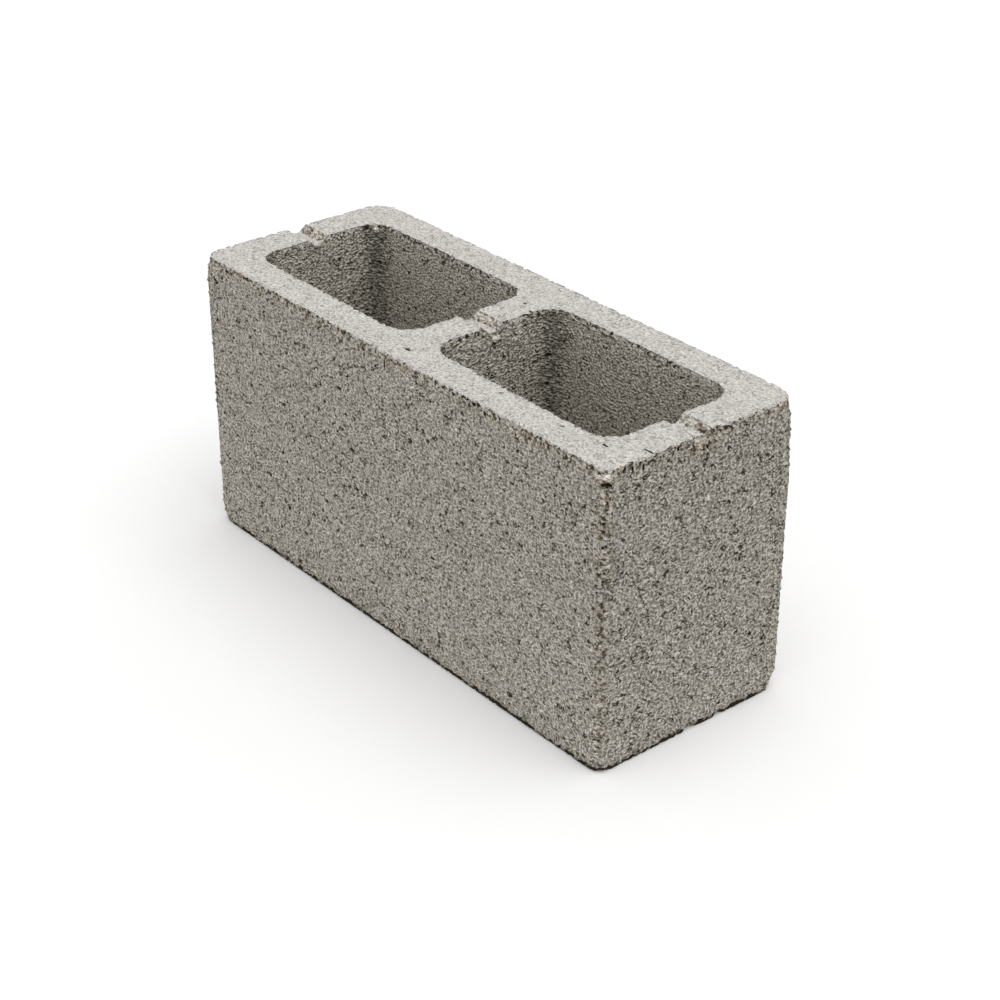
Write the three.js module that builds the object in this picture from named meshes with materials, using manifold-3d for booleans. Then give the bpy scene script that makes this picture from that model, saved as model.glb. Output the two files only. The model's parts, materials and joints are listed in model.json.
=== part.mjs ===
// Hollow two-cell concrete block, cast in one piece of dry-pressed concrete.
// Millimetres, +Z up, +X along the length, +Y through the width.
// The origin is the centre of the bottom bed face.
// The block stands as it leaves the mould: the cores that form the cells are drawn out upwards, so the cells
// are widest on top, and the bar that carries the cores leaves a groove across the tops of all three webs.

import * as THREE from 'three';
import { mergeVertices } from 'three/addons/utils/BufferGeometryUtils.js';
import Module from 'manifold-3d';

// Block
const BLOCK_LENGTH = 400;
const BLOCK_WIDTH = 150;
const BLOCK_HEIGHT = 200;
const EDGE_RADIUS = 6; // of the four upright edges
const ARRIS = 1; // chamfer round the top and bottom faces, as worn in handling

// Walls, measured at the top of the block, where they are thinnest
const FACE_SHELL = 25.5;
const END_WEB = 27.5;
const CENTRE_WEB = 25.5;

// Cells
const CELL_CORNER_RADIUS = 17;
const CORE_DRAFT = 2; // how far each cell wall closes in from the top of the block to its bottom

// Core-bar groove
const GROOVE_MOUTH = 15;
const GROOVE_FLOOR = 6;
const GROOVE_DEPTH = 4.5;

// Spall where the groove runs out through the end face at +X
const SPALL_RADIUS = 10; // on the end face
const SPALL_REACH = 14; // back from the end face, along the groove

// How far a cutting solid stands past each face that it cuts
const OVERCUT = 5;

// Straight pieces in each quarter round
const EDGE_SEGMENTS = 6;
const CELL_SEGMENTS = 12;

const cellLength = (BLOCK_LENGTH - 2 * END_WEB - CENTRE_WEB) / 2;
const cellWidth = BLOCK_WIDTH - 2 * FACE_SHELL;
const cellCentre = (CENTRE_WEB + cellLength) / 2;

const wasm = await Module();
wasm.setup();

// A closed geometry as a solid that can be cut.
function toSolid(geometry) {
  geometry.deleteAttribute('normal');
  geometry.deleteAttribute('uv');
  const merged = mergeVertices(geometry);
  return new wasm.Manifold(new wasm.Mesh({
    numProp: 3,
    vertProperties: new Float32Array(merged.attributes.position.array),
    triVerts: new Uint32Array(merged.index.array),
  }));
}

// A solid as a geometry with flat faces.
function toGeometry(solid) {
  const { vertProperties, triVerts } = solid.getMesh();
  const shared = new THREE.BufferGeometry();
  shared.setAttribute('position', new THREE.BufferAttribute(vertProperties, 3));
  shared.setIndex(new THREE.BufferAttribute(triVerts, 1));
  const geometry = shared.toNonIndexed();
  geometry.computeVertexNormals();
  return geometry;
}

// A rectangle with rounded corners, centred on the origin.
function roundedRectangle(length, width, radius) {
  const x = length / 2 - radius;
  const y = width / 2 - radius;
  const shape = new THREE.Shape();
  shape.absarc(x, y, radius, 0, Math.PI / 2);
  shape.absarc(-x, y, radius, Math.PI / 2, Math.PI);
  shape.absarc(-x, -y, radius, Math.PI, 1.5 * Math.PI);
  shape.absarc(x, -y, radius, 1.5 * Math.PI, 2 * Math.PI);
  shape.closePath();
  return shape;
}

// The block before its cells: a rounded rectangle drawn upwards, with a chamfer round both bed faces.
function blockBody() {
  const outline = roundedRectangle(BLOCK_LENGTH, BLOCK_WIDTH, EDGE_RADIUS);
  const geometry = new THREE.ExtrudeGeometry(outline, {
    depth: BLOCK_HEIGHT - 2 * ARRIS,
    bevelSize: ARRIS,
    bevelOffset: -ARRIS,
    bevelThickness: ARRIS,
    bevelSegments: 1,
    curveSegments: EDGE_SEGMENTS / 2,
  });
  geometry.translate(0, 0, ARRIS);
  return toSolid(geometry);
}

// One core. Its walls lean in towards the bottom: each quarter of a level moves straight towards the middle,
// so every wall stays flat and the corners keep their radius.
function core(centre) {
  const outline = roundedRectangle(cellLength, cellWidth, CELL_CORNER_RADIUS);
  const geometry = new THREE.ExtrudeGeometry(outline, {
    depth: BLOCK_HEIGHT + 2 * OVERCUT,
    bevelEnabled: false,
    curveSegments: CELL_SEGMENTS / 2,
  });
  geometry.translate(0, 0, -OVERCUT);
  const points = geometry.attributes.position;
  for (let i = 0; i < points.count; i++) {
    const lean = CORE_DRAFT * (1 - points.getZ(i) / BLOCK_HEIGHT);
    points.setX(i, points.getX(i) - Math.sign(points.getX(i)) * lean);
    points.setY(i, points.getY(i) - Math.sign(points.getY(i)) * lean);
  }
  geometry.translate(centre, 0, 0);
  return toSolid(geometry);
}

// The core bar: a trapezoid along the block's whole length. Its sloped sides carry on above the top face.
function coreBar() {
  const flare = (GROOVE_MOUTH - GROOVE_FLOOR) / 2 / GROOVE_DEPTH;
  const halfFloor = GROOVE_FLOOR / 2;
  const halfTop = GROOVE_MOUTH / 2 + flare * OVERCUT;
  const section = new THREE.Shape([
    new THREE.Vector2(-halfFloor, -GROOVE_DEPTH),
    new THREE.Vector2(halfFloor, -GROOVE_DEPTH),
    new THREE.Vector2(halfTop, OVERCUT),
    new THREE.Vector2(-halfTop, OVERCUT),
  ]);
  const length = BLOCK_LENGTH + 2 * OVERCUT;
  const geometry = new THREE.ExtrudeGeometry(section, { depth: length, bevelEnabled: false });
  const alongX = new THREE.Matrix4().makeBasis(
    new THREE.Vector3(0, 1, 0), new THREE.Vector3(0, 0, 1), new THREE.Vector3(1, 0, 0));
  geometry.applyMatrix4(alongX);
  geometry.translate(-length / 2, 0, BLOCK_HEIGHT);
  return toSolid(geometry);
}

// The spall: a cone that lies along the groove at the level of the top face, its point inside the block.
// It runs on past the end face at the same slope.
function spall() {
  const length = SPALL_REACH + OVERCUT;
  const radius = SPALL_RADIUS * length / SPALL_REACH;
  const geometry = new THREE.ConeGeometry(radius, length, 2 * EDGE_SEGMENTS);
  geometry.rotateZ(Math.PI / 2);
  geometry.translate(BLOCK_LENGTH / 2 + OVERCUT - length / 2, 0, BLOCK_HEIGHT);
  return toSolid(geometry);
}

const castBlock = blockBody()
  .subtract(core(-cellCentre))
  .subtract(core(cellCentre))
  .subtract(coreBar())
  .subtract(spall());

const concrete = new THREE.MeshStandardMaterial({ color: 0xa9a399, roughness: 0.95, metalness: 0 });

const concreteBlock = new THREE.Mesh(toGeometry(castBlock), concrete);
concreteBlock.name = 'concrete_block';

const block = new THREE.Group();
block.add(concreteBlock);

export default block;
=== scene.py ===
"""A hollow two-cell concrete block, dry-pressed in a steel mould: its body, its grains and a studio."""

import json
import math
from collections import namedtuple

import bpy
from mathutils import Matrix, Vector

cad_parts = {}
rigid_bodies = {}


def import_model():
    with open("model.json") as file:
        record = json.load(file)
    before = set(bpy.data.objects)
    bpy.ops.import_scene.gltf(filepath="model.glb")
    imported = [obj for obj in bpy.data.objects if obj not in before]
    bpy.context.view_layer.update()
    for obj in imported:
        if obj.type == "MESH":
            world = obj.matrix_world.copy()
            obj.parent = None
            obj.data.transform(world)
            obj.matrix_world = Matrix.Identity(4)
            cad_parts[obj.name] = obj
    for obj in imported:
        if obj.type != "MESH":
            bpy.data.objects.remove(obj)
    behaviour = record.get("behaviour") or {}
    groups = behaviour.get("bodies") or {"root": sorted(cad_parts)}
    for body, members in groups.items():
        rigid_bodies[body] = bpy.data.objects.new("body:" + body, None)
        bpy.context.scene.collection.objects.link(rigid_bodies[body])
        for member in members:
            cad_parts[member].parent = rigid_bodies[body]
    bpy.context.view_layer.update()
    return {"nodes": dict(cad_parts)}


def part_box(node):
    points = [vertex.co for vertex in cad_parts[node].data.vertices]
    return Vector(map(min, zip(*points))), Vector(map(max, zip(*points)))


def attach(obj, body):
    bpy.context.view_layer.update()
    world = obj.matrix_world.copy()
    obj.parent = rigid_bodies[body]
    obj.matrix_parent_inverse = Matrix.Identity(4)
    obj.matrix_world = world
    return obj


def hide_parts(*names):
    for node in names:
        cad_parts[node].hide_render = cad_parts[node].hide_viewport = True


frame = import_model()

bl_info = {
    "name": "Hollow concrete block",
    "version": (1, 0, 0),
    "blender": (4, 5, 0),
    "location": "3D View > Sidebar > Block",
    "description": "Models a hollow concrete block with its open grain, its chips and a plain studio",
    "category": "Object",
}

NODE = "concrete_block"
BODY = "cast_block"
MM = 0.001
HAIR = 0.05 * MM  # how far inside the frame's box every surface stays
LEAST_HAIR = 0.01 * MM  # the same at the lower corner, where the block stands on the floor
SHELL = 12 * MM  # what lies less deep than this belongs to the outer faces, and the rest to the cells
GROOVE_HALF = 18 * MM  # half the width of the core bar's groove with its broken mouth
GROOVE_DEPTH = 6 * MM  # how far down the groove and its broken floor reach
GRAIN_SHAPES = 6
GRAIN_RISE = 0.24  # height of a grain whose width is 1
GRAIN_ROOT = 0.12  # how far its foot then reaches into the mortar

LOW, HIGH = (Vector(corner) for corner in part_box(NODE))
SIZE = HIGH - LOW

# Places on the block, in millimetres: worn back as far as "depth" within "reach" of a point, or marked
# by something as large as its width, depth and height.
Wear = namedtuple("Wear", "x y z reach depth")
Mark = namedtuple("Mark", "x y z width depth height")

WORN = (
    Wear(200, 75, 200, 18, 7),  # the far top corner
    Wear(200, 75, 184, 20, 2.2),  # and down from it
    Wear(200, 75, 166, 18, 1.4),
    Wear(-200, 75, 200, 16, 5),
    Wear(-200, -75, 200, 16, 5),
    Wear(200, -75, 195, 9, 2.5),  # the near corner, round its white stone
    Wear(200, 13, 200, 11, 5),  # the groove's broken far side
    Wear(200, 0, 0, 8, 4),  # along the lower arrises
    Wear(200, 24, 0, 6, 3),
    Wear(200, -75, 0, 12, 4),
    Wear(200, 75, 0, 16, 6),
    Wear(-200, -75, 0, 16, 5),
)

# The crevices' faces are painted with the hollow colour, as shade and dirt
CREVICES = (  # narrow and dark
    Mark(198, -73, 190.5, 8, 8, 3.4),  # under the white stone
    Mark(198.8, -73.8, 167, 6, 6, 2.5),  # down the near upright arris
    Mark(198.8, -73.8, 159, 5, 5, 2.1),
    Mark(198.8, -73.8, 152, 6, 6, 2.6),
    Mark(198.8, -73.8, 135, 5, 5, 2.2),
    Mark(198.8, -73.8, 116, 5, 5, 3.4),
    Mark(198.8, -73.8, 96, 4.6, 4.6, 2.2),
    Mark(199, -74, 62, 4.4, 4.4, 2.1),
    Mark(199.5, 2, 188, 4, 1.6, 17),  # down from the groove
    Mark(196, -39.6, 200.5, 13, 1.3, 2.4),  # across the bed to the end
    Mark(200, -61, 197, 4, 2.6, 4.4),  # crumbs lost under the end's upper arris
    Mark(200, -55, 195.4, 4, 2.4, 5),
    Mark(200, -47, 194, 4, 2.2, 5),
    Mark(200, -30, 183, 3, 3.4, 3),
    Mark(200, -21, 197, 4, 2.4, 4),
    Mark(-171, -75, 196, 5, 4, 2.6),  # under the long face's upper arris
    Mark(-178, -75, 189, 3.4, 4, 2.6),
    Mark(0.8, -75, 191.5, 1.6, 4, 7),
    Mark(67, -75, 197, 3.4, 4, 2.2),
    Mark(86, -75, 197.4, 4, 4, 2.6),
    Mark(96, -75, 195, 2.4, 4, 4),
    Mark(175.3, -53.5, 200, 4.6, 1.7, 3),  # pits in the bed
    Mark(142.7, -56.1, 200, 2.4, 1.4, 3),
    Mark(88, -56.3, 200, 2, 1.4, 3),
    Mark(7, -61.5, 200, 4.4, 2, 3),
    Mark(-1, 37, 200, 3, 1.6, 3),
    Mark(11, 32, 200, 2.6, 1.4, 3),
)

PEBBLES = (
    Mark(193, -68.8, 195, 13, 12, 7.5),  # the near corner's white stone, broken in three
    Mark(195.6, -64.7, 193.2, 6, 7, 4.4),
    Mark(188.7, -70.4, 196, 7, 7, 4.4),
    Mark(198.6, 4, 157, 3.4, 4.4, 4.4),  # on the end
    Mark(12, 2.4, 190.4, 4, 8.4, 4.2),  # in the cells' walls, under the groove
    Mark(12, 17, 185.6, 4, 4.4, 4.2),
    Mark(-173, -0.2, 195, 4, 7, 4.4),
    Mark(-168.2, 45, 196, 5, 5, 4.4),
)


# Helpers


def linear(hex_colour):
    """An sRGB hex colour as linear RGBA."""
    channels = (int(hex_colour[i : i + 2], 16) / 255 for i in (1, 3, 5))
    return (*(c / 12.92 if c <= 0.04045 else ((c + 0.055) / 1.055) ** 2.4 for c in channels), 1.0)


def add(tree, kind, inputs=None, **settings):
    """Adds a node with its settings. An input that is given a node or a socket is linked to it."""
    node = tree.nodes.new(kind)
    for name, value in settings.items():
        setattr(node, name, value)
    for key, value in (inputs or {}).items():
        found = [s for s in node.inputs if s.name == key and not s.is_unavailable]
        socket = node.inputs[key] if isinstance(key, int) else found[0]
        if isinstance(value, bpy.types.Node):
            value = next(s for s in value.outputs if not s.is_unavailable)
        if isinstance(value, bpy.types.NodeSocket):
            tree.links.new(value, socket)
        else:
            socket.default_value = value
    return node


def geometry_tree(name):
    """An empty geometry node tree with one geometry input and one geometry output."""
    tree = bpy.data.node_groups.new(name, "GeometryNodeTree")
    tree.interface.new_socket("Geometry", in_out="INPUT", socket_type="NodeSocketGeometry")
    tree.interface.new_socket("Geometry", in_out="OUTPUT", socket_type="NodeSocketGeometry")
    return tree


def only(piece):
    """Makes a piece the one selected, active object."""
    bpy.ops.object.select_all(action="DESELECT")
    piece.select_set(True)
    bpy.context.view_layer.objects.active = piece


def new_piece(name, mesh=None):
    """An object at the origin, selected and active."""
    piece = bpy.data.objects.new(name, mesh or bpy.data.meshes.new(name))
    bpy.context.collection.objects.link(piece)
    only(piece)
    return piece


def apply_modifier(piece, kind, **settings):
    """Gives a piece a modifier and applies it."""
    only(piece)
    modifier = piece.modifiers.new(kind.lower(), kind)
    for name, value in settings.items():
        setattr(modifier, name, value)
    bpy.ops.object.modifier_apply(modifier=modifier.name)


def settle(piece, material):
    """Finishes a piece: its smooth shading, its material, and the body it joins; the frame's node that it
    stands for is hidden.
    """
    only(piece)
    bpy.ops.object.shade_smooth()
    piece.data.materials.clear()
    piece.data.materials.append(material)
    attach(piece, "root")
    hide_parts(NODE)


def empty_material(name):
    """A material of that name with an empty node tree, and the tree."""
    material = bpy.data.materials.new(name)
    material.use_nodes = True
    material.node_tree.nodes.clear()
    return material, material.node_tree


def foot_at(tree, place):
    """How far a place lies in the ragged gap under the lower arrises: 1 in the gap, 0 above it."""
    stones = add(tree, "ShaderNodeTexNoise", {"Vector": place, "Scale": 1 / (4.5 * MM), "Detail": 0.0})
    top = add(tree, "ShaderNodeMapRange",
              {"Value": stones.outputs["Fac"], "From Min": 0.35, "From Max": 0.65, "To Min": 1.0 * MM,
               "To Max": 3.6 * MM})
    spot = add(tree, "ShaderNodeSeparateXYZ", {0: place})
    below = add(tree, "ShaderNodeMath", {0: top, 1: spot.outputs["Z"]}, operation="SUBTRACT")
    return add(tree, "ShaderNodeMapRange", {"Value": below, "From Min": -0.3 * MM, "From Max": 0.3 * MM})


def press_inside(piece):
    """Presses every point back inside the frame's box, as the mould's steel walls do."""
    tree = geometry_tree("pressed flush")
    start = add(tree, "NodeGroupInput")
    place = add(tree, "GeometryNodeInputPosition")
    lowest = LOW + LEAST_HAIR * Vector((1, 1, 1))
    highest = HIGH - HAIR * Vector((1, 1, 1))
    above = add(tree, "ShaderNodeVectorMath", {0: place, 1: lowest}, operation="MAXIMUM")
    below = add(tree, "ShaderNodeVectorMath", {0: above, 1: highest}, operation="MINIMUM")
    pressed = add(tree, "GeometryNodeSetPosition", {"Geometry": start.outputs[0], "Position": below})
    add(tree, "NodeGroupOutput", {0: pressed})
    apply_modifier(piece, "NODES", node_group=tree)


def joined(parts):
    """Joins several objects into the first of them."""
    only(parts[0])
    for part in parts:
        part.select_set(True)
    bpy.ops.object.join()
    return parts[0]


def knock_about(mark, detail, seed):
    """An irregular lump of stone, as wide as its mark and in its mark's place."""
    bpy.ops.object.select_all(action="DESELECT")
    size = Vector((mark.width, mark.depth, mark.height)) * MM
    bpy.ops.mesh.primitive_ico_sphere_add(subdivisions=detail, radius=0.5,
                                          location=Vector((mark.x, mark.y, mark.z)) * MM, scale=size)
    lump = bpy.context.object
    bpy.ops.object.transform_apply(location=True, rotation=True, scale=True)
    bpy.ops.object.mode_set(mode="EDIT")
    bpy.ops.mesh.select_all(action="SELECT")
    bpy.ops.transform.vertex_random(offset=0.2 * min(size), seed=seed)
    bpy.ops.object.mode_set(mode="OBJECT")
    return lump


# Sizes and colours that a user would change


class BlockSizes(bpy.types.PropertyGroup):
    """Sizes of the block's surface. The block's own sizes are the frame's."""

    mesh_step: bpy.props.FloatProperty(
        name="Mesh step", description="Spacing of the fine mesh that takes the relief",
        default=0.9 * MM, subtype="DISTANCE")
    triangles: bpy.props.IntProperty(
        name="Triangles", description="Triangles that are left when the relief is done",
        default=194_000)
    matrix_depth: bpy.props.FloatProperty(
        name="Matrix depth", description="How far the mortar lies below the tips of the grains",
        default=0.8 * MM, subtype="DISTANCE")
    relief: bpy.props.FloatProperty(
        name="Relief", description="Height of the mortar's own ups and downs", default=0.35 * MM,
        subtype="DISTANCE")
    relief_width: bpy.props.FloatProperty(
        name="Relief width", description="Width of one of those ups and downs", default=3.0 * MM,
        subtype="DISTANCE")
    pit_depth: bpy.props.FloatProperty(
        name="Pit depth", description="Depth of an open pit in the moulded faces", default=1.4 * MM,
        subtype="DISTANCE")
    cell_relief: bpy.props.FloatProperty(
        name="Cell relief", description="Relief of the cells' walls, as a share of the outer faces'",
        default=0.35, subtype="FACTOR")
    crumble: bpy.props.FloatProperty(
        name="Crumble", description="How far the arrises have crumbled back", default=2.2 * MM,
        subtype="DISTANCE")
    foot: bpy.props.FloatProperty(
        name="Foot", description="How far the lower arrises have worn back", default=4.0 * MM,
        subtype="DISTANCE")


class GrainSizes(bpy.types.PropertyGroup):
    """Sizes of the sand and stone grains that show in the moulded faces."""

    width: bpy.props.FloatProperty(
        name="Grain width", description="Width of a common grain", default=3.1 * MM, subtype="DISTANCE")
    spacing: bpy.props.FloatProperty(
        name="Grain spacing", description="Least distance between two grains of the outer faces",
        default=2.8 * MM, subtype="DISTANCE")
    cell_spacing: bpy.props.FloatProperty(
        name="Cell grain spacing", description="Least distance between two grains of the cells' walls",
        default=3.6 * MM, subtype="DISTANCE")


class BlockLook(bpy.types.PropertyGroup):
    """Colours of the dry-pressed concrete."""

    paste: bpy.props.FloatVectorProperty(
        name="Paste", description="Cement paste on the moulded sides", subtype="COLOR", size=4,
        default=linear("#D5CDBE"))
    bed: bpy.props.FloatVectorProperty(
        name="Bed", description="Pressed cement skin of the top and bottom", subtype="COLOR", size=4,
        default=linear("#D3CFC9"))
    grain: bpy.props.FloatVectorProperty(
        name="Grain", description="Clean sand and stone that stands proud", subtype="COLOR", size=4,
        default=linear("#F0EBE2"))
    # Hollow: a colour of painted shade and dirt for pits, gaps, crevices, lost crumbs and the gap over
    # the floor
    hollow: bpy.props.FloatVectorProperty(
        name="Hollow", description="Depth of the pits and gaps between grains", subtype="COLOR", size=4,
        default=linear("#403A2E"))
    stain: bpy.props.FloatVectorProperty(
        name="Stain", description="Brown tint under the arrises", subtype="COLOR", size=4,
        default=linear("#DCCEB6"))


class StudioSettings(bpy.types.PropertyGroup):
    """The camera's place and the lamp's strength."""

    azimuth: bpy.props.FloatProperty(
        name="Azimuth", description="How far round to the right of the long face the camera stands",
        default=math.radians(50.51), subtype="ANGLE")
    elevation: bpy.props.FloatProperty(
        name="Elevation", description="How far above level the camera looks from",
        default=math.radians(28.93), subtype="ANGLE")
    distance: bpy.props.FloatProperty(
        name="Distance", description="From the camera to the point it looks at", default=1.3644,
        subtype="DISTANCE")
    target: bpy.props.FloatVectorProperty(
        name="Target", description="The point that the camera looks at",
        default=(0.0170, 0.0021, 0.0788), subtype="XYZ")
    lens: bpy.props.FloatProperty(
        name="Lens", description="The camera's focal length on a 36 mm sensor", default=76.7)
    lamp: bpy.props.FloatProperty(
        name="Lamp", description="Share of the light on a level surface that comes from overhead",
        default=0.42)
    sky: bpy.props.FloatProperty(
        name="Sky", description="Share of the light that comes from all round", default=0.65)


# Body


def bare_block():
    """A copy of the frame's block, with its loose triangles merged into flat faces."""
    block = new_piece(BODY, frame["nodes"][NODE].data.copy())
    block.data.name = BODY
    bpy.ops.object.mode_set(mode="EDIT")
    bpy.ops.mesh.select_all(action="SELECT")
    bpy.ops.mesh.remove_doubles(threshold=0.01 * MM)
    bpy.ops.mesh.dissolve_limited(angle_limit=math.radians(1))
    bpy.ops.object.mode_set(mode="OBJECT")
    return block


def arrises_of(block):
    """A guide to what lies near an arris: the sharp edges, and the middle lines of the rounded ones."""
    guide = new_piece("arrises", block.data.copy())
    bpy.ops.object.mode_set(mode="EDIT")
    bpy.ops.mesh.select_mode(type="EDGE")
    bpy.ops.mesh.select_all(action="DESELECT")
    bpy.ops.mesh.edges_select_sharp(sharpness=math.radians(28))
    bpy.ops.object.mode_set(mode="OBJECT")
    for edge in guide.data.edges:
        ends = [guide.data.vertices[index].co for index in edge.vertices]
        if all(abs(end.x) > HIGH.x - 2 * MM and abs(end.y) > HIGH.y - 2 * MM for end in ends):
            edge.select = True
    bpy.ops.object.mode_set(mode="EDIT")
    bpy.ops.mesh.select_all(action="INVERT")
    bpy.ops.mesh.delete(type="EDGE")
    bpy.ops.object.mode_set(mode="OBJECT")
    return guide


def relief_tree(sizes, guide):
    """Geometry nodes that sink the surface below the mould's face: mortar, pits, crumbled arrises."""
    tree = geometry_tree("mortar relief")
    start = add(tree, "NodeGroupInput")
    place = add(tree, "GeometryNodeInputPosition")
    normal = add(tree, "GeometryNodeInputNormal")

    # How flat the surface lies: 1 on the pressed top and bottom, 0 on the moulded sides
    turned = add(tree, "ShaderNodeSeparateXYZ", {0: normal})
    lying = add(tree, "ShaderNodeMath", {0: turned.outputs["Z"]}, operation="ABSOLUTE")
    bed = add(tree, "ShaderNodeMapRange", {"Value": lying, "From Min": 0.55, "From Max": 0.95})

    # How far inside the outer faces a place lies: 1 on the cells' walls, 0 on the outside
    across = add(tree, "ShaderNodeVectorMath", {0: place}, operation="ABSOLUTE")
    inner = add(tree, "FunctionNodeCompare",
                {"A": across, "B": (HIGH.x - SHELL, HIGH.y - SHELL, 1.0)}, data_type="VECTOR",
                mode="ELEMENT", operation="LESS_THAN")
    openness = add(tree, "ShaderNodeMapRange",
                   {"Value": inner, "To Min": 1.0, "To Max": sizes.cell_relief})

    # How smoothly the cores left the cells: 1 on their flat walls, less in their rounded corners.
    # The materials also paint shade in the cells by it, darkest in the corners
    slant = add(tree, "ShaderNodeMath", {0: turned.outputs["X"], 1: turned.outputs["Y"]},
                operation="MULTIPLY")
    oblique = add(tree, "ShaderNodeMath", {0: slant}, operation="ABSOLUTE")
    flatness = add(tree, "ShaderNodeMapRange",
                   {"Value": oblique, "From Max": 0.5, "To Min": 1.0, "To Max": -0.7})
    smooth = add(tree, "ShaderNodeMath", {0: inner, 1: flatness}, operation="MULTIPLY")

    # Distance to the nearest arris
    arris = add(tree, "GeometryNodeObjectInfo", {"Object": guide})
    near = add(tree, "GeometryNodeProximity",
               {0: arris.outputs["Geometry"], "Sample Position": place}, target_element="EDGES")
    near_arris = add(tree, "ShaderNodeMapRange",
                     {"Value": near.outputs["Distance"], "From Max": 9 * MM, "To Min": 1.0,
                      "To Max": 0.0})
    at_arris = add(tree, "ShaderNodeMapRange",
                   {"Value": near.outputs["Distance"], "From Max": 3 * MM, "To Min": 1.0, "To Max": 0.0},
                   interpolation_type="SMOOTHSTEP")

    # Mortar: broad ups and downs with finer ones on them
    waves = add(tree, "ShaderNodeTexNoise",
                {"Vector": place, "Scale": 1 / sizes.relief_width, "Detail": 1.0, "Roughness": 0.6})
    mortar = add(tree, "ShaderNodeMapRange",
                 {"Value": waves.outputs["Fac"], "From Min": 0.25, "From Max": 0.75,
                  "To Min": sizes.matrix_depth + sizes.relief / 2,
                  "To Max": sizes.matrix_depth - sizes.relief / 2})

    # Pits: long narrow cells of a bent pattern, few of them open
    bend = add(tree, "ShaderNodeTexNoise", {"Vector": place, "Scale": 1 / (4 * MM), "Detail": 2.0})
    bend_by = add(tree, "ShaderNodeVectorMath", {0: bend.outputs["Color"], "Scale": 5 * MM},
                  operation="SCALE")
    bent = add(tree, "ShaderNodeVectorMath", {0: place, 1: bend_by}, operation="ADD")
    cells = add(tree, "ShaderNodeTexVoronoi", {"Vector": bent, "Scale": 1 / (8 * MM)})
    chance = add(tree, "ShaderNodeSeparateXYZ", {0: cells.outputs["Color"]})
    reach = add(tree, "ShaderNodeMapRange",
                {"Value": chance.outputs["Z"], "From Min": 0.62, "To Max": 0.3})
    within = add(tree, "ShaderNodeMath", {0: reach, 1: cells.outputs["Distance"]}, operation="SUBTRACT")
    pit = add(tree, "ShaderNodeMapRange",
              {"Value": within, "From Max": 0.2, "To Max": sizes.pit_depth},
              interpolation_type="SMOOTHSTEP")

    # The top and bottom are pressed flat and close
    pitted = add(tree, "ShaderNodeMath", {0: mortar, 1: pit}, operation="ADD")
    side_depth = add(tree, "ShaderNodeMath", {0: pitted, 1: openness}, operation="MULTIPLY")
    bed_depth = add(tree, "ShaderNodeMath", {0: side_depth, 1: 0.2}, operation="MULTIPLY")
    face_depth = add(tree, "ShaderNodeMix", {"Factor": bed, "A": side_depth, "B": bed_depth})

    # Crumbled arrises
    crumbs = add(tree, "ShaderNodeTexNoise", {"Vector": place, "Scale": 1 / (3.2 * MM), "Detail": 1.0})
    most = add(tree, "ShaderNodeMapRange",
               {"Value": bed, "To Min": sizes.crumble, "To Max": 0.35 * sizes.crumble})
    crumbling = add(tree, "ShaderNodeMapRange",
                    {"Value": crumbs.outputs["Fac"], "From Min": 0.52, "From Max": 0.63, "To Max": most})
    crumbled = add(tree, "ShaderNodeMath", {0: crumbling, 1: at_arris}, operation="MULTIPLY")
    above = add(tree, "ShaderNodeMath", {0: face_depth, 1: crumbled}, operation="ADD")
    worn = add(tree, "ShaderNodeMapRange", {"Value": bed, "To Min": sizes.foot, "To Max": 0.0})
    depth = add(tree, "ShaderNodeMath", {0: foot_at(tree, place), 1: worn, 2: above},
                operation="MULTIPLY_ADD")
    inward = add(tree, "ShaderNodeMath", {0: depth, 1: -1.0}, operation="MULTIPLY")
    offset = add(tree, "ShaderNodeVectorMath", {0: normal, "Scale": inward}, operation="SCALE")

    # Worn places: moved most at their middle, away from the faces they lie on, with a ragged outline
    edge = add(tree, "ShaderNodeTexNoise", {"Vector": place, "Scale": 1 / (6 * MM), "Detail": 1.0})
    ragged = add(tree, "ShaderNodeMapRange",
                 {"Value": edge.outputs["Fac"], "From Min": 0.3, "From Max": 0.7, "To Min": 0.75,
                  "To Max": 1.3})
    for wear in WORN:
        middle = Vector((wear.x, wear.y, wear.z)) * MM
        distance = add(tree, "ShaderNodeVectorMath", {0: place, 1: middle}, operation="DISTANCE")
        uneven = add(tree, "ShaderNodeMath", {0: distance, 1: ragged}, operation="MULTIPLY")
        share = add(tree, "ShaderNodeMapRange",
                    {"Value": uneven, "From Max": wear.reach * MM, "To Min": 1.0, "To Max": 0.0})
        hollow = add(tree, "ShaderNodeMath", {0: share, 1: share}, operation="MULTIPLY")
        on_low = [abs(value - low) < HAIR for value, low in zip(middle, LOW)]
        on_high = [abs(value - high) < HAIR for value, high in zip(middle, HIGH)]
        away = Vector([low - high for low, high in zip(on_low, on_high)]).normalized()
        push = add(tree, "ShaderNodeVectorMath", {0: away * wear.depth * MM, "Scale": hollow},
                   operation="SCALE")
        offset = add(tree, "ShaderNodeVectorMath", {0: offset, 1: push}, operation="ADD")

    # What the materials and the grains read later
    marked = start.outputs[0]
    for name, value in (("near_arris", near_arris), ("smooth", smooth)):
        marked = add(tree, "GeometryNodeStoreNamedAttribute",
                     {"Geometry": marked, "Name": name, "Value": value}, data_type="FLOAT",
                     domain="POINT")
    sunk = add(tree, "GeometryNodeSetPosition", {"Geometry": marked, "Offset": offset})
    add(tree, "NodeGroupOutput", {0: sunk})
    return tree


def cut_crevices(block):
    """Cuts the crevices into the block. Their faces are known by their attribute "crevice"."""
    lumps = joined([knock_about(mark, detail=2, seed=seed) for seed, mark in enumerate(CREVICES)])
    faces = lumps.data.attributes.new("crevice", "FLOAT", "FACE")
    for face in faces.data:
        face.value = 1.0
    apply_modifier(block, "BOOLEAN", operation="DIFFERENCE", object=lumps, solver="MANIFOLD")
    bpy.data.objects.remove(lumps)


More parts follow.
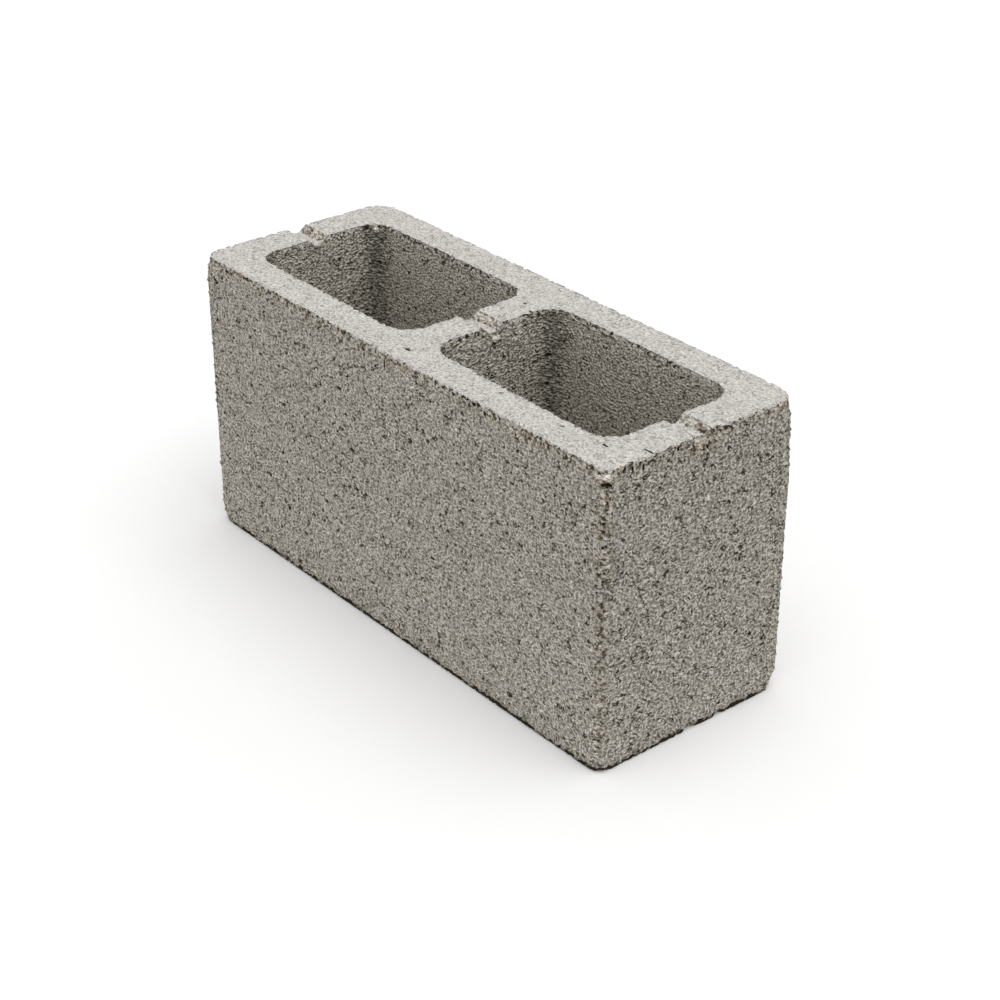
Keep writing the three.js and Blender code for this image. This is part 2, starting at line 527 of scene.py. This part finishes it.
class CastBlock(bpy.types.Operator):
    """Casts the body: the frame's block, meshed finely, sunk into relief, thinned out and cut"""

    bl_idname = "concrete.cast_block"
    bl_label = "Cast block"

    def execute(self, context):
        sizes = context.scene.block_sizes
        block = bare_block()
        guide = arrises_of(block)
        most_steps = SIZE.x / (0.9 * sizes.mesh_step)  # the block fills at most 0.9 of the modifier's box
        depth = math.ceil(math.log2(most_steps))
        apply_modifier(block, "REMESH", mode="SHARP", octree_depth=depth,
                       scale=SIZE.x / (2**depth * sizes.mesh_step), sharpness=1.0,
                       use_remove_disconnected=False)
        apply_modifier(block, "NODES", node_group=relief_tree(sizes, guide))
        bpy.data.objects.remove(guide)
        triangles = sum(len(face.vertices) - 2 for face in block.data.polygons)
        apply_modifier(block, "DECIMATE", ratio=sizes.triangles / triangles)
        press_inside(block)
        cut_crevices(block)
        settle(block, dry_pressed_concrete(context.scene.block_look))
        return {"FINISHED"}


# Grains


def stone_shapes():
    """A few shapes of grain: low five-sided blocks with a narrower top, knocked about, one unit wide.

    Their attribute "proud" runs from 0 at the foot, which sits in the mortar, to 1 at the top.
    """
    shapes = bpy.data.collections.new("stone_shapes")
    bpy.context.scene.collection.children.link(shapes)
    for seed in range(GRAIN_SHAPES):
        bpy.ops.object.select_all(action="DESELECT")
        bpy.ops.mesh.primitive_cone_add(vertices=5, radius1=0.5, radius2=0.24, depth=GRAIN_RISE,
                                        location=(0, 0, GRAIN_RISE / 2))
        stone = bpy.context.object
        stone.name = f"stone_{seed}"
        bpy.ops.object.transform_apply(location=True)
        proud = stone.data.attributes.new("proud", "FLOAT", "POINT")
        for vertex, value in zip(stone.data.vertices, proud.data):
            value.value = vertex.co.z / GRAIN_RISE
            vertex.co.z -= GRAIN_ROOT * (1 - value.value)
        bpy.ops.object.mode_set(mode="EDIT")
        bpy.ops.mesh.select_all(action="SELECT")
        bpy.ops.transform.vertex_random(offset=0.1, seed=seed)
        bpy.ops.object.mode_set(mode="OBJECT")
        bpy.context.collection.objects.unlink(stone)
        shapes.objects.link(stone)
    return shapes


def grain_tree(sizes, body, shapes, spacing, rise, low, high, seed):
    """Geometry nodes that set grains into the body's upright faces that lie between two corners."""
    tree = geometry_tree("grains")
    surface = add(tree, "GeometryNodeObjectInfo", {"Object": body})
    place = add(tree, "GeometryNodeInputPosition")
    normal = add(tree, "GeometryNodeInputNormal")
    turned = add(tree, "ShaderNodeSeparateXYZ", {0: normal})
    lying = add(tree, "ShaderNodeMath", {0: turned.outputs["Z"]}, operation="ABSOLUTE")
    kept = add(tree, "FunctionNodeCompare", {0: lying, 1: 0.75}, operation="LESS_THAN")
    for corner, operation in ((low, "GREATER_THAN"), (high, "LESS_THAN")):
        side = add(tree, "FunctionNodeCompare", {"A": place, "B": corner}, data_type="VECTOR",
                   mode="ELEMENT", operation=operation)
        kept = add(tree, "FunctionNodeBooleanMath", {0: kept, 1: side}, operation="AND")
    spot = add(tree, "ShaderNodeSeparateXYZ", {0: place})
    across = add(tree, "ShaderNodeMath", {0: spot.outputs["Y"]}, operation="ABSOLUTE")
    beside = add(tree, "FunctionNodeCompare", {0: across, 1: GROOVE_HALF}, operation="GREATER_THAN")
    below = add(tree, "FunctionNodeCompare", {0: spot.outputs["Z"], 1: HIGH.z - GROOVE_DEPTH},
                operation="LESS_THAN")
    clear = add(tree, "FunctionNodeBooleanMath", {0: beside, 1: below}, operation="OR")
    kept = add(tree, "FunctionNodeBooleanMath", {0: kept, 1: clear}, operation="AND")
    for name, most in (("crevice", 0.5), ("near_arris", 0.7)):
        mark = add(tree, "GeometryNodeInputNamedAttribute", {"Name": name}, data_type="FLOAT")
        less = add(tree, "FunctionNodeCompare", {0: mark, 1: most}, operation="LESS_THAN")
        kept = add(tree, "FunctionNodeBooleanMath", {0: kept, 1: less}, operation="AND")
    points = add(tree, "GeometryNodeDistributePointsOnFaces",
                 {"Mesh": surface.outputs["Geometry"], "Selection": kept, "Distance Min": spacing,
                  "Density Max": 1.2 / spacing**2, "Seed": seed}, distribute_method="POISSON")
    shape = add(tree, "GeometryNodeCollectionInfo",
                {"Collection": shapes, "Separate Children": True, "Reset Children": True})
    pick = add(tree, "FunctionNodeRandomValue", {"Min": 0, "Max": GRAIN_SHAPES - 1, "Seed": seed},
               data_type="INT")
    spin = add(tree, "FunctionNodeRandomValue",
               {"Min": (-0.3, -0.3, 0.0), "Max": (0.3, 0.3, math.tau), "Seed": seed + 1},
               data_type="FLOAT_VECTOR")
    turn = add(tree, "FunctionNodeRotateRotation",
               {0: points.outputs["Rotation"], 1: spin}, rotation_space="LOCAL")
    width = add(tree, "FunctionNodeRandomValue",
                {"Min": 0.6 * sizes.width, "Max": 1.4 * sizes.width, "Seed": seed + 2},
                data_type="FLOAT")
    tone = add(tree, "FunctionNodeRandomValue", {"Min": 0.0, "Max": 1.0, "Seed": seed + 3},
               data_type="FLOAT")
    toned = add(tree, "GeometryNodeStoreNamedAttribute",
                {"Geometry": points.outputs["Points"], "Name": "tone", "Value": tone},
                data_type="FLOAT", domain="POINT")
    numbered = add(tree, "GeometryNodeStoreNamedAttribute",
                   {"Geometry": toned, "Name": "seat", "Value": add(tree, "GeometryNodeInputIndex")},
                   data_type="FLOAT", domain="POINT")
    scale = add(tree, "ShaderNodeVectorMath", {0: (1.0, 1.0, rise), "Scale": width}, operation="SCALE")
    stones = add(tree, "GeometryNodeInstanceOnPoints",
                 {"Points": numbered, "Instance": shape, "Pick Instance": True, "Instance Index": pick,
                  "Rotation": turn, "Scale": scale})
    real = add(tree, "GeometryNodeRealizeInstances", {0: stones})
    add(tree, "NodeGroupOutput", {0: own_squares(tree, real, numbered)})
    return tree


def own_squares(tree, stones, points):
    """Lays each stone's map in a small square of its own, so that a baked picture has room for all."""
    size = add(tree, "GeometryNodeAttributeDomainSize", {0: points}, component="POINTCLOUD")
    root = add(tree, "ShaderNodeMath", {0: size.outputs["Point Count"]}, operation="SQRT")
    columns = add(tree, "ShaderNodeMath", {0: root}, operation="CEIL")
    seat = add(tree, "GeometryNodeInputNamedAttribute", {"Name": "seat"}, data_type="FLOAT")
    column = add(tree, "ShaderNodeMath", {0: seat, 1: columns}, operation="FLOORED_MODULO")
    share = add(tree, "ShaderNodeMath", {0: seat, 1: columns}, operation="DIVIDE")
    row = add(tree, "ShaderNodeMath", {0: share}, operation="FLOOR")
    corner = add(tree, "ShaderNodeCombineXYZ", {0: column, 1: row})
    shape_map = add(tree, "GeometryNodeInputNamedAttribute", {"Name": "UVMap"},
                    data_type="FLOAT_VECTOR")
    margin = 0.08
    inset = add(tree, "ShaderNodeVectorMath",
                {0: shape_map, 1: (1 - 2 * margin, 1 - 2 * margin, 0.0), 2: (margin, margin, 0.0)},
                operation="MULTIPLY_ADD")
    placed = add(tree, "ShaderNodeVectorMath", {0: corner, 1: inset}, operation="ADD")
    side = add(tree, "ShaderNodeMath", {0: 1.0, 1: columns}, operation="DIVIDE")
    fitted = add(tree, "ShaderNodeVectorMath", {0: placed, "Scale": side}, operation="SCALE")
    mapped = add(tree, "GeometryNodeStoreNamedAttribute",
                 {"Geometry": stones, "Name": "OFBake", "Value": fitted}, data_type="FLOAT2",
                 domain="CORNER")
    for name in ("UVMap", "seat"):
        mapped = add(tree, "GeometryNodeRemoveAttribute", {"Geometry": mapped, "Name": name})
    return mapped


def grain_regions(sizes):
    """Each piece made of grains: its spacing, how far it rises and the two corners it lies between."""
    inner_low, inner_high = LOW + Vector((SHELL, SHELL, 0)), HIGH - Vector((SHELL, SHELL, 0))
    beyond = Vector((1, 1, 1))
    middle = (LOW.x + HIGH.x) / 2
    outer = (sizes.spacing, 1.0)
    ends = (sizes.spacing, 1.3)
    inner = (sizes.cell_spacing, 0.3)
    return {
        "grains_front": (*outer, -beyond, Vector((1, inner_low.y, 1))),
        "grains_back": (*outer, Vector((-1, inner_high.y, -1)), beyond),
        "grains_right_end": (*ends, Vector((inner_high.x, inner_low.y, -1)),
                             Vector((1, inner_high.y, 1))),
        "grains_left_end": (*ends, Vector((-1, inner_low.y, -1)),
                            Vector((inner_low.x, inner_high.y, 1))),
        "grains_right_cell": (*inner, Vector((middle, inner_low.y, -1)),
                              Vector((inner_high.x, inner_high.y, 1))),
        "grains_left_cell": (*inner, Vector((inner_low.x, inner_low.y, -1)),
                             Vector((middle, inner_high.y, 1))),
    }


class SetGrains(bpy.types.Operator):
    """Sets sand and stone grains into the moulded faces, one piece for each face and cell"""

    bl_idname = "concrete.set_grains"
    bl_label = "Set grains"

    def execute(self, context):
        sizes = context.scene.grain_sizes
        body = bpy.data.objects[BODY]
        shapes = stone_shapes()
        material = coated_grains(context.scene.block_look)
        for seed, (name, region) in enumerate(grain_regions(sizes).items()):
            piece = new_piece(name)
            apply_modifier(piece, "NODES",
                           node_group=grain_tree(sizes, body, shapes, *region, 10 * seed))
            press_inside(piece)
            settle(piece, material)
        for stone in list(shapes.objects):
            bpy.data.objects.remove(stone)
        bpy.data.collections.remove(shapes)
        return {"FINISHED"}


# Pebbles


class SetPebbles(bpy.types.Operator):
    """Sets the few large clean stones that show at the corner, on the end and in the cells"""

    bl_idname = "concrete.set_pebbles"
    bl_label = "Set pebbles"

    def execute(self, context):
        pebbles = joined([knock_about(mark, detail=3, seed=seed) for seed, mark in enumerate(PEBBLES)])
        pebbles.name = "pebbles"
        pebbles.data.name = "pebbles"
        press_inside(pebbles)
        settle(pebbles, pale_stone(context.scene.block_look))
        return {"FINISHED"}


# Materials


def grain_pattern(tree, here):
    """The pattern of the concrete's own grains at a place, which its sides and its bed share.

    It gives how rough the surface is, from -1 where it is low to 1 where it is high, how far a place lies
    in a gap where a grain was lost, from 0 to 1, and the height of both.
    """
    # Pressing from above has flattened the grains, so that gaps run level more often than upright
    pressed = add(tree, "ShaderNodeVectorMath", {0: here, 1: (1.0, 1.0, 1.3)}, operation="MULTIPLY")

    # The ends took less paste than the long faces: they are coarser and have lost more grains
    spot = add(tree, "ShaderNodeSeparateXYZ", {0: here})
    along = add(tree, "ShaderNodeMath", {0: spot.outputs["X"]}, operation="ABSOLUTE")
    coarser = add(tree, "ShaderNodeMapRange",
                  {"Value": along, "From Min": HIGH.x - 4 * MM, "From Max": HIGH.x - 2 * MM,
                   "To Min": 1.0, "To Max": 1.15})

    # Sand: soft ups and downs about as wide as a grain
    sand = add(tree, "ShaderNodeTexNoise", {"Vector": pressed, "Scale": 1 / (1.9 * MM), "Detail": 0.0})
    grains = add(tree, "ShaderNodeMapRange",
                 {"Value": sand.outputs["Fac"], "From Min": 0.25, "From Max": 0.75, "To Min": -1.0,
                  "To Max": 1.0}, clamp=False)
    rough = add(tree, "ShaderNodeMath", {0: grains, 1: coarser}, operation="MULTIPLY")

    # Gaps: the winding lines along which a second pattern is at its middle value, faint but for short
    # stretches, a few in each square centimetre, where a grain was lost
    wave = add(tree, "ShaderNodeTexNoise", {"Vector": pressed, "Scale": 1 / (4.0 * MM), "Detail": 0.0})
    about = add(tree, "ShaderNodeMath", {0: wave.outputs["Fac"], 1: 0.5}, operation="SUBTRACT")
    aside = add(tree, "ShaderNodeMath", {0: about}, operation="ABSOLUTE")
    cells = add(tree, "ShaderNodeTexVoronoi", {"Vector": pressed, "Scale": 1 / (5.0 * MM)})
    chance = add(tree, "ShaderNodeSeparateXYZ", {0: cells.outputs["Color"]})
    reach = add(tree, "ShaderNodeMapRange",
                {"Value": chance.outputs["Z"], "From Min": 0.1, "To Max": 0.62})
    wider = add(tree, "ShaderNodeMath", {0: reach, 1: coarser}, operation="MULTIPLY")
    within = add(tree, "ShaderNodeMath", {0: wider, 1: cells.outputs["Distance"]}, operation="SUBTRACT")
    lost = add(tree, "ShaderNodeMapRange", {"Value": within, "From Max": 0.1})
    wide = add(tree, "ShaderNodeMapRange", {"Value": lost, "To Min": 0.06, "To Max": 0.1})
    line = add(tree, "ShaderNodeMapRange",
               {"Value": aside, "From Min": 0.02, "From Max": wide, "To Min": 1.0, "To Max": 0.0},
               interpolation_type="SMOOTHSTEP")
    stretch = add(tree, "ShaderNodeMapRange", {"Value": lost, "To Min": 0.3})
    gap = add(tree, "ShaderNodeMath", {0: line, 1: stretch}, operation="MULTIPLY")

    height = add(tree, "ShaderNodeMath", {0: gap, 1: -1.5, 2: rough}, operation="MULTIPLY_ADD")
    return rough, gap, height


def moulded_side(tree, rough, gap, look, ground):
    """The colour of the open, moulded sides: painted shade and dirt in gaps and hollows, clean stone
    where it is high.
    """
    # Painted shade and dirt: low places and gaps take the hollow colour
    low = add(tree, "ShaderNodeMapRange",
              {"Value": rough, "From Min": 0.05, "From Max": -0.8, "To Max": 0.6})
    dark = add(tree, "ShaderNodeMath", {0: low, 1: gap}, operation="MAXIMUM")
    bright = add(tree, "ShaderNodeMapRange", {"Value": rough, "From Min": -0.1, "From Max": 0.6})
    grains = add(tree, "ShaderNodeMix", {"Factor": bright, "A": ground, "B": look.grain},
                 data_type="RGBA")
    return add(tree, "ShaderNodeMix", {"Factor": dark, "A": grains, "B": look.hollow}, data_type="RGBA")


def as_it_lies(tree, here, colour, look):
    """A colour changed by where it lies on the block.

    Along the arrises, and most along the upper ones, it has a brown tint in patches, and between clean
    grains it has painted shade and dirt where crumbs were lost. The cells' walls have painted shade,
    darkest in their corners, the sides are painted a little paler lower down as light that the floor
    throws up, and the gap over the floor is painted shadow.
    """
    spot = add(tree, "ShaderNodeSeparateXYZ", {0: here})
    arris = add(tree, "ShaderNodeAttribute", attribute_name="near_arris")
    patches = add(tree, "ShaderNodeTexNoise", {"Vector": here, "Scale": 1 / (4 * MM), "Detail": 1.0})
    spread = add(tree, "ShaderNodeMapRange",
                 {"Value": patches.outputs["Fac"], "From Min": 0.42, "From Max": 0.62, "To Min": 0.3})
    upper = add(tree, "ShaderNodeMapRange",
                {"Value": spot.outputs["Z"], "From Min": LOW.z, "From Max": HIGH.z, "To Min": 0.4})
    smooth = add(tree, "ShaderNodeAttribute", attribute_name="smooth")
    open_face = add(tree, "ShaderNodeMapRange",
                    {"Value": smooth.outputs["Fac"], "To Min": 1.0, "To Max": 0.3})
    share = add(tree, "ShaderNodeMath", {0: spread, 1: upper}, operation="MULTIPLY")
    most = add(tree, "ShaderNodeMath", {0: share, 1: open_face}, operation="MULTIPLY")
    strength = add(tree, "ShaderNodeMapRange",
                   {"Value": arris.outputs["Fac"], "From Min": 0.15, "From Max": 0.75, "To Max": most},
                   interpolation_type="SMOOTHSTEP")
    tinted = add(tree, "ShaderNodeMix", {"Factor": strength, "A": colour, "B": look.stain},
                 data_type="RGBA", blend_type="MULTIPLY")

    # Crumbs were lost from the arrises and clean grains stand out there, fewer in the core bar's groove.
    # Where crumbs were lost the colour is painted shade and dirt
    crumbs = add(tree, "ShaderNodeTexNoise", {"Vector": here, "Scale": 1 / (2.4 * MM), "Detail": 1.0})
    aside = add(tree, "ShaderNodeMath", {0: spot.outputs["Y"]}, operation="ABSOLUTE")
    weak = add(tree, "ShaderNodeMapRange",
               {"Value": aside, "From Min": 5 * MM, "From Max": 9 * MM, "To Min": 0.35, "To Max": upper})
    edge = add(tree, "ShaderNodeMapRange",
               {"Value": arris.outputs["Fac"], "From Min": 0.3, "From Max": 0.7, "To Max": weak},
               interpolation_type="SMOOTHSTEP")
    lost = add(tree, "ShaderNodeMapRange",
               {"Value": crumbs.outputs["Fac"], "From Min": 0.55, "From Max": 0.62, "To Max": edge})
    kept = add(tree, "ShaderNodeMapRange",
               {"Value": crumbs.outputs["Fac"], "From Min": 0.48, "From Max": 0.4, "To Max": edge})
    crumbled = add(tree, "ShaderNodeMix", {"Factor": kept, "A": tinted, "B": look.grain},
                   data_type="RGBA")
    painted_pocket_shade = add(tree, "ShaderNodeMix", {"Factor": lost, "A": crumbled, "B": look.hollow},
                  data_type="RGBA")

    # Painted shade: the cells' walls a little darker and their corners darker still. Painted light: the
    # sides a little paler lower down, as the light that the floor throws up
    corners = add(tree, "ShaderNodeMapRange",
                  {"Value": smooth.outputs["Fac"], "From Min": -0.7, "From Max": 0.0, "To Min": 0.62})
    walls = add(tree, "ShaderNodeMapRange",
                {"Value": smooth.outputs["Fac"], "To Min": corners, "To Max": 0.97})
    # Painted light: paler lower down, as the light that the floor throws up
    painted_floor_light = add(tree, "ShaderNodeMapRange",
                {"Value": spot.outputs["Z"], "From Min": LOW.z, "From Max": 0.6 * HIGH.z, "To Min": 1.13})
    tone = add(tree, "ShaderNodeMath", {0: walls, 1: painted_floor_light}, operation="MULTIPLY")
    toned = add(tree, "ShaderNodeMix", {"Factor": 1.0, "A": painted_pocket_shade, "B": tone}, data_type="RGBA",
                blend_type="MULTIPLY")
    # Painted shadow: the gap over the floor takes the hollow colour
    return add(tree, "ShaderNodeMix", {"Factor": foot_at(tree, here), "A": toned, "B": look.hollow},
               data_type="RGBA")


def pressed_skin(tree, here, rough, gap, look):
    """The colour of the pressed top and bottom: close and pale, with thin grey gaps and dark specks, both
    painted shade and dirt.
    """
    mottle = add(tree, "ShaderNodeTexNoise", {"Vector": here, "Scale": 1 / (7 * MM), "Detail": 1.0})
    broad = add(tree, "ShaderNodeMapRange",
                {"Value": mottle.outputs["Fac"], "From Min": 0.3, "From Max": 0.7, "To Min": 0.94,
                 "To Max": 1.06}, clamp=False)
    pale = add(tree, "ShaderNodeMath", {0: rough, 1: 0.17, 2: broad}, operation="MULTIPLY_ADD")
    skin = add(tree, "ShaderNodeMix", {"Factor": 1.0, "A": look.bed, "B": pale}, data_type="RGBA",
               blend_type="MULTIPLY")
    # Painted shade and dirt of tiny pits: dark specks and thin gaps
    grit = add(tree, "ShaderNodeTexNoise", {"Vector": here, "Scale": 1 / (1.4 * MM), "Detail": 0.0})
    specks = add(tree, "ShaderNodeMapRange",
                 {"Value": grit.outputs["Fac"], "From Min": 0.6, "From Max": 0.75, "To Max": 0.5})
    thin = add(tree, "ShaderNodeMath", {0: gap, 1: 0.32}, operation="MULTIPLY")
    dark = add(tree, "ShaderNodeMath", {0: thin, 1: specks}, operation="MAXIMUM")
    return add(tree, "ShaderNodeMix", {"Factor": dark, "A": skin, "B": look.hollow}, data_type="RGBA")


def dry_pressed_concrete(look):
    """Dry-pressed concrete: sand and fine stone in a lean paste, pressed in a steel mould.

    The sides are open: pale sand stands between hollows painted dark with shade and dirt, and gaps show
    where grains were lost.
    The top and bottom are closer and paler, and the arrises have a brown tint.
    """
    material, tree = empty_material("dry_pressed_concrete")
    place = add(tree, "ShaderNodeTexCoord")
    here = place.outputs["Object"]
    rough, gap, height = grain_pattern(tree, here)
    side = as_it_lies(tree, here, moulded_side(tree, rough, gap, look, look.paste), look)
    skin = pressed_skin(tree, here, rough, gap, look)
    turned = add(tree, "ShaderNodeSeparateXYZ", {0: place.outputs["Normal"]})
    lying = add(tree, "ShaderNodeMath", {0: turned.outputs["Z"]}, operation="ABSOLUTE")
    flat = add(tree, "ShaderNodeMapRange", {"Value": lying, "From Min": 0.75, "From Max": 0.95})

    # The top's skin runs raggedly over the arrises
    spot = add(tree, "ShaderNodeSeparateXYZ", {0: here})
    rags = add(tree, "ShaderNodeTexNoise", {"Vector": here, "Scale": 1 / (3.4 * MM), "Detail": 0.0})
    lip = add(tree, "ShaderNodeMath", {0: rags.outputs["Fac"], 1: 9 * MM, 2: spot.outputs["Z"]},
              operation="MULTIPLY_ADD")
    over = add(tree, "ShaderNodeMapRange",
               {"Value": lip, "From Min": HIGH.z + 3.6 * MM, "From Max": HIGH.z + 4.2 * MM})
    bed = add(tree, "ShaderNodeMath", {0: flat, 1: over}, operation="MAXIMUM")
    colour = add(tree, "ShaderNodeMix", {"Factor": bed, "A": side, "B": skin}, data_type="RGBA")
    # Painted shade and dirt fill the faces of the cut crevices
    crevice = add(tree, "ShaderNodeAttribute", attribute_name="crevice")
    crevices = add(tree, "ShaderNodeMix",
                   {"Factor": crevice.outputs["Fac"], "A": colour, "B": look.hollow}, data_type="RGBA")

    # Open sides have the deepest grain, and the cells' smooth walls half as much
    smooth = add(tree, "ShaderNodeAttribute", attribute_name="smooth")
    open_relief = add(tree, "ShaderNodeMapRange",
                      {"Value": smooth.outputs["Fac"], "To Min": 1.5 * MM, "To Max": 0.7 * MM})
    relief = add(tree, "ShaderNodeMapRange", {"Value": bed, "To Min": open_relief, "To Max": 0.4 * MM})
    bump = add(tree, "ShaderNodeBump", {"Height": height, "Strength": 1.0, "Distance": relief})
    shader = add(tree, "ShaderNodeBsdfPrincipled",
                 {"Base Color": crevices, "Roughness": 0.95, "Specular IOR Level": 0.25, "Normal": bump})
    add(tree, "ShaderNodeOutputMaterial", {"Surface": shader})
    return material


def coated_grains(look):
    """Grains of sand and stone: most keep a film of paste, some are clean, and painted shade lies round
    part of their feet.
    """
    material, tree = empty_material("paste_coated_grains")
    place = add(tree, "ShaderNodeTexCoord")
    here = place.outputs["Object"]
    tone = add(tree, "ShaderNodeAttribute", attribute_name="tone")
    proud = add(tree, "ShaderNodeAttribute", attribute_name="proud")
    clean = add(tree, "ShaderNodeMapRange",
                {"Value": tone.outputs["Fac"], "From Min": 0.9, "To Max": 0.8})
    stone = add(tree, "ShaderNodeMix", {"Factor": clean, "A": look.paste, "B": look.grain},
                data_type="RGBA")
    rough, gap, height = grain_pattern(tree, here)
    filmed = moulded_side(tree, rough, gap, look, stone)

    # Painted shade: dark round part of each grain's foot, where it meets the mortar
    part = add(tree, "ShaderNodeTexNoise", {"Vector": here, "Scale": 1 / (3 * MM), "Detail": 0.0})
    depth = add(tree, "ShaderNodeMapRange",
                {"Value": part.outputs["Fac"], "From Min": 0.48, "From Max": 0.64, "To Min": 0.1,
                 "To Max": 0.85})
    foot = add(tree, "ShaderNodeMapRange",
               {"Value": proud.outputs["Fac"], "From Min": 0.3, "From Max": 0.9, "To Min": depth,
                "To Max": 0.0})
    colour = add(tree, "ShaderNodeMix", {"Factor": foot, "A": filmed, "B": look.hollow},
                 data_type="RGBA")
    tinted = as_it_lies(tree, here, colour, look)
    smooth = add(tree, "ShaderNodeAttribute", attribute_name="smooth")
    relief = add(tree, "ShaderNodeMapRange",
                 {"Value": smooth.outputs["Fac"], "To Min": 1.2 * MM, "To Max": 0.6 * MM})
    bump = add(tree, "ShaderNodeBump", {"Height": height, "Strength": 1.0, "Distance": relief})
    shader = add(tree, "ShaderNodeBsdfPrincipled",
                 {"Base Color": tinted, "Roughness": 0.9, "Specular IOR Level": 0.25, "Normal": bump})
    add(tree, "ShaderNodeOutputMaterial", {"Surface": shader})
    return material


def pale_stone(look):
    """Clean broken limestone: nearly white and matt, with a sugary grain, dark seams and a brown
    underside darkened as painted shade.
    """
    material, tree = empty_material("pale_limestone")
    place = add(tree, "ShaderNodeTexCoord")
    here = place.outputs["Object"]
    sugar = add(tree, "ShaderNodeTexNoise", {"Vector": here, "Scale": 1 / (1.6 * MM), "Detail": 2.0})
    seams = add(tree, "ShaderNodeTexVoronoi", {"Vector": here, "Scale": 1 / (3.5 * MM)},
                feature="DISTANCE_TO_EDGE")
    seam = add(tree, "ShaderNodeMapRange",
               {"Value": seams.outputs["Distance"], "From Min": 0.03, "From Max": 0.12, "To Min": 0.55,
                "To Max": 0.0})
    clean = add(tree, "ShaderNodeMapRange",
                {"Value": sugar.outputs["Fac"], "From Min": 0.3, "From Max": 0.7, "To Min": 0.95,
                 "To Max": 1.15})
    sugary = add(tree, "ShaderNodeMix", {"Factor": 1.0, "A": look.grain, "B": clean},
                 data_type="RGBA", blend_type="MULTIPLY")
    cracked = add(tree, "ShaderNodeMix", {"Factor": seam, "A": sugary, "B": look.hollow},
                  data_type="RGBA")
    # Painted shade: the faces that look down are darker and browner
    facing = add(tree, "ShaderNodeSeparateXYZ", {0: place.outputs["Normal"]})
    under = add(tree, "ShaderNodeMapRange",
                {"Value": facing.outputs["Z"], "From Max": -0.5, "To Max": 0.9})
    colour = add(tree, "ShaderNodeMix", {"Factor": under, "A": cracked, "B": look.stain},
                 data_type="RGBA", blend_type="MULTIPLY")
    bump = add(tree, "ShaderNodeBump", {"Height": sugar.outputs["Fac"], "Strength": 1.0,
                                        "Distance": 0.8 * MM})
    shader = add(tree, "ShaderNodeBsdfPrincipled",
                 {"Base Color": colour, "Roughness": 0.8, "Specular IOR Level": 0.3, "Normal": bump})
    add(tree, "ShaderNodeOutputMaterial", {"Surface": shader})
    return material


# Stage


def white_for_camera(tree, lit):
    """How pale a white surface is: pure white to the camera and in reflections, plain to the light."""
    path = add(tree, "ShaderNodeLightPath")
    mirrored = add(tree, "ShaderNodeMath",
                   {0: path.outputs["Is Glossy Ray"], 1: path.outputs["Is Transmission Ray"]},
                   operation="MAXIMUM")
    seen = add(tree, "ShaderNodeMath", {0: path.outputs["Is Camera Ray"], 1: mirrored},
               operation="MAXIMUM")
    return add(tree, "ShaderNodeMapRange", {"Value": seen, "To Min": lit})


class LightStudio(bpy.types.Operator):
    """Lays a white floor, lights it evenly with a soft lamp overhead, and places the camera"""

    bl_idname = "concrete.light_studio"
    bl_label = "Light studio"

    def execute(self, context):
        settings = context.scene.block_studio
        bpy.ops.object.select_all(action="DESELECT")
        bpy.ops.mesh.primitive_plane_add(size=30, location=(0, 0, 0))
        floor = bpy.context.object
        floor.name = "floor"
        white, tree = empty_material("white_ground")
        shader = add(tree, "ShaderNodeBsdfPrincipled",
                     {"Base Color": white_for_camera(tree, 0.9), "Roughness": 1.0,
                      "Specular IOR Level": 0.0})
        add(tree, "ShaderNodeOutputMaterial", {"Surface": shader})
        floor.data.materials.append(white)

        world = bpy.data.worlds.new("white_sky")
        context.scene.world = world
        world.use_nodes = True
        tree = world.node_tree
        tree.nodes.clear()
        sky = add(tree, "ShaderNodeBackground",
                  {"Color": (1, 1, 1, 1), "Strength": white_for_camera(tree, settings.sky)})
        add(tree, "ShaderNodeOutputWorld", {"Surface": sky})

        tilt = math.radians(13)  # towards the right end
        bpy.ops.object.light_add(type="SUN", location=(0, 0, 2), rotation=(0, tilt, 0))
        lamp = bpy.context.object
        lamp.data.angle = math.radians(60)
        lamp.data.energy = settings.lamp * math.pi

        level = math.cos(settings.elevation)
        back = Vector((math.sin(settings.azimuth) * level, -math.cos(settings.azimuth) * level,
                       math.sin(settings.elevation)))
        bpy.ops.object.camera_add(location=Vector(settings.target) + settings.distance * back)
        camera = bpy.context.object
        camera.rotation_euler = (-back).to_track_quat("-Z", "Y").to_euler()
        camera.data.sensor_width = 36
        camera.data.lens = settings.lens
        context.scene.camera = camera
        context.scene.view_settings.view_transform = "Standard"
        return {"FINISHED"}


# Add-on


class BlockPanel(bpy.types.Panel):
    """Lists the block's sizes, its colours and the steps that make it"""

    bl_idname = "VIEW3D_PT_concrete_block"
    bl_label = "Concrete block"
    bl_space_type = "VIEW_3D"
    bl_region_type = "UI"
    bl_category = "Block"

    def draw(self, context):
        for name in GROUPS:
            group = getattr(context.scene, name)
            box = self.layout.box()
            for setting in group.bl_rna.properties:
                if not setting.is_readonly and setting.identifier != "name":
                    box.prop(group, setting.identifier)
        for step in STEPS:
            self.layout.operator(step.bl_idname)


GROUPS = {
    "block_sizes": BlockSizes,
    "grain_sizes": GrainSizes,
    "block_look": BlockLook,
    "block_studio": StudioSettings,
}
STEPS = (CastBlock, SetGrains, SetPebbles, LightStudio)


def register():
    for kind in (*GROUPS.values(), *STEPS, BlockPanel):
        bpy.utils.register_class(kind)
    for name, group in GROUPS.items():
        setattr(bpy.types.Scene, name, bpy.props.PointerProperty(type=group))


def unregister():
    for name in GROUPS:
        delattr(bpy.types.Scene, name)
    for kind in (BlockPanel, *reversed(STEPS), *reversed(GROUPS.values())):
        bpy.utils.unregister_class(kind)


def main():
    register()
    bpy.ops.concrete.cast_block()
    bpy.ops.concrete.set_grains()
    bpy.ops.concrete.set_pebbles()
    bpy.ops.concrete.light_studio()


if __name__ == "__main__":
    main()
